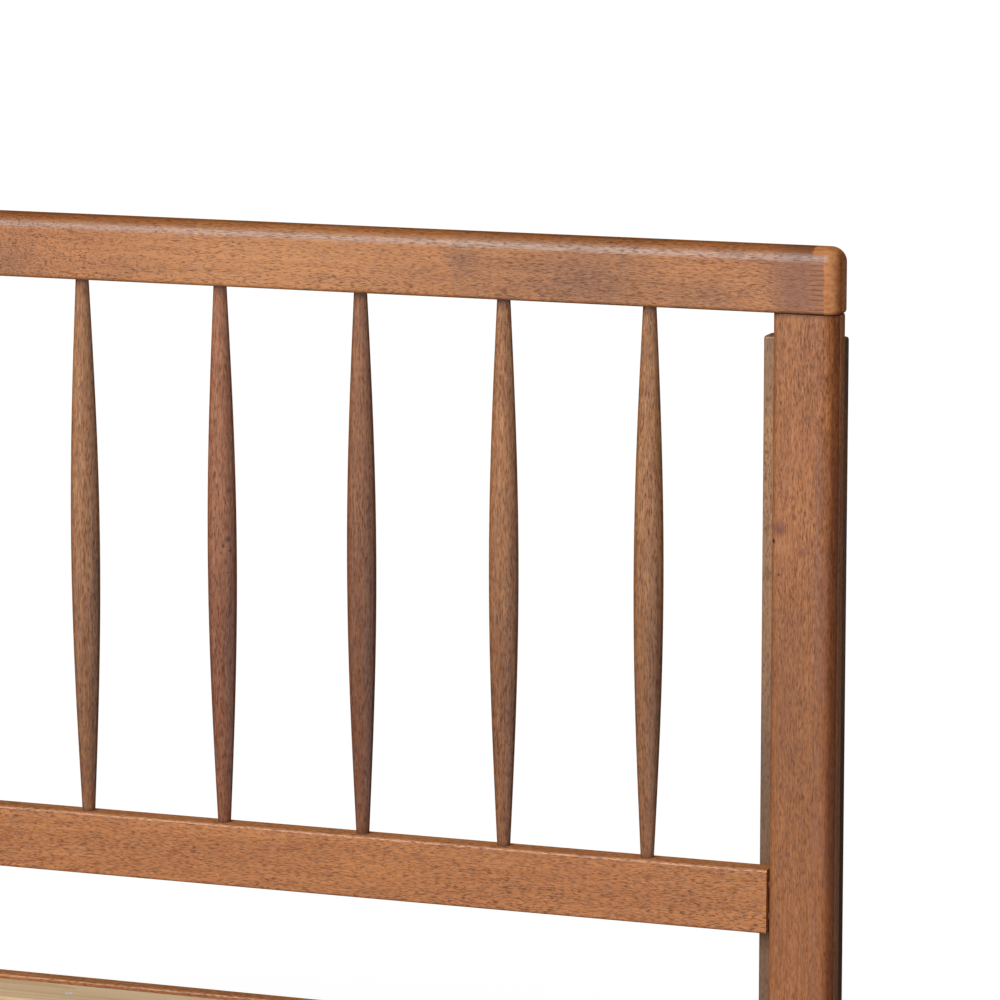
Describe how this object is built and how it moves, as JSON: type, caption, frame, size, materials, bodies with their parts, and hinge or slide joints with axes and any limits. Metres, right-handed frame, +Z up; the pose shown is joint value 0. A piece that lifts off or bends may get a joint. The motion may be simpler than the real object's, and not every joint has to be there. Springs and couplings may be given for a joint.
{
  "type": "platform bed",
  "caption": "Queen-size wooden platform bed: spindle headboard with a rounded top rail, slatted platform in low side rails, tapered foot legs and a centre beam on levelling feet.",
  "frame": {"origin": "on the floor, under the middle of the whole bed", "axes": "+X across the bed, +Y along it towards the headboard, +Z up"},
  "size_m": [1.644, 2.125, 1.1],
  "materials": {
    "walnut_stained_wood": "satin",
    "slat_wood": "matt",
    "frame_wood": "matt",
    "dowel_wood": "matt",
    "zinc_steel": "satin",
    "glide_plastic": "matt"
  },
  "bodies": {
    "bed_frame": {"beam_hanger_foot": "zinc_steel", "beam_hanger_head": "zinc_steel", "beam_hanger_screws": "zinc_steel", "centre_beam": "frame_wood", "centre_leg_1": "frame_wood", "centre_leg_2": "frame_wood", "centre_leg_3": "frame_wood", "centre_leg_studs": "zinc_steel", "cleat_screws": "zinc_steel", "cross_rail": "walnut_stained_wood", "cross_rail_screws": "zinc_steel", "foot_leg_bolts": "zinc_steel", "foot_leg_left": "walnut_stained_wood", "foot_leg_right": "walnut_stained_wood", "foot_rail": "walnut_stained_wood", "headboard_bolts": "zinc_steel", "headboard_dowels": "dowel_wood", "headboard_leg_left": "walnut_stained_wood", "headboard_leg_right": "walnut_stained_wood", "headboard_lower_rail": "walnut_stained_wood", "headboard_post_left": "walnut_stained_wood", "headboard_post_right": "walnut_stained_wood", "headboard_spindle_1": "walnut_stained_wood", "headboard_spindle_2": "walnut_stained_wood", "headboard_spindle_3": "walnut_stained_wood", "headboard_spindle_4": "walnut_stained_wood", "headboard_spindle_5": "walnut_stained_wood", "headboard_spindle_6": "walnut_stained_wood", "headboard_spindle_7": "walnut_stained_wood", "headboard_spindle_8": "walnut_stained_wood", "headboard_spindle_9": "walnut_stained_wood", "headboard_top_rail": "walnut_stained_wood", "leg_glides": "glide_plastic", "side_rail_barrel_nuts": "zinc_steel", "side_rail_bolts": "zinc_steel", "side_rail_dowels": "dowel_wood", "side_rail_left": "walnut_stained_wood", "side_rail_right": "walnut_stained_wood", "slat_1": "slat_wood", "slat_10": "slat_wood", "slat_11": "slat_wood", "slat_12": "slat_wood", "slat_13": "slat_wood", "slat_14": "slat_wood", "slat_2": "slat_wood", "slat_3": "slat_wood", "slat_4": "slat_wood", "slat_5": "slat_wood", "slat_6": "slat_wood", "slat_7": "slat_wood", "slat_8": "slat_wood", "slat_9": "slat_wood", "slat_cleat_left": "frame_wood", "slat_cleat_right": "frame_wood", "slat_screws": "zinc_steel", "threaded_inserts": "zinc_steel"},
    "foot_1": {"levelling_foot_1": "zinc_steel"},
    "foot_2": {"levelling_foot_2": "zinc_steel"},
    "foot_3": {"levelling_foot_3": "zinc_steel"}
  },
  "joints": [
    {"name": "foot_1_screw", "type": "slide", "parent": "bed_frame", "child": "foot_1", "axis": [0, 0, 1], "range_m": [-0.012, 0.01]},
    {"name": "foot_2_screw", "type": "slide", "parent": "bed_frame", "child": "foot_2", "axis": [0, 0, 1], "range_m": [-0.012, 0.01]},
    {"name": "foot_3_screw", "type": "slide", "parent": "bed_frame", "child": "foot_3", "axis": [0, 0, 1], "range_m": [-0.012, 0.01]}
  ]
}
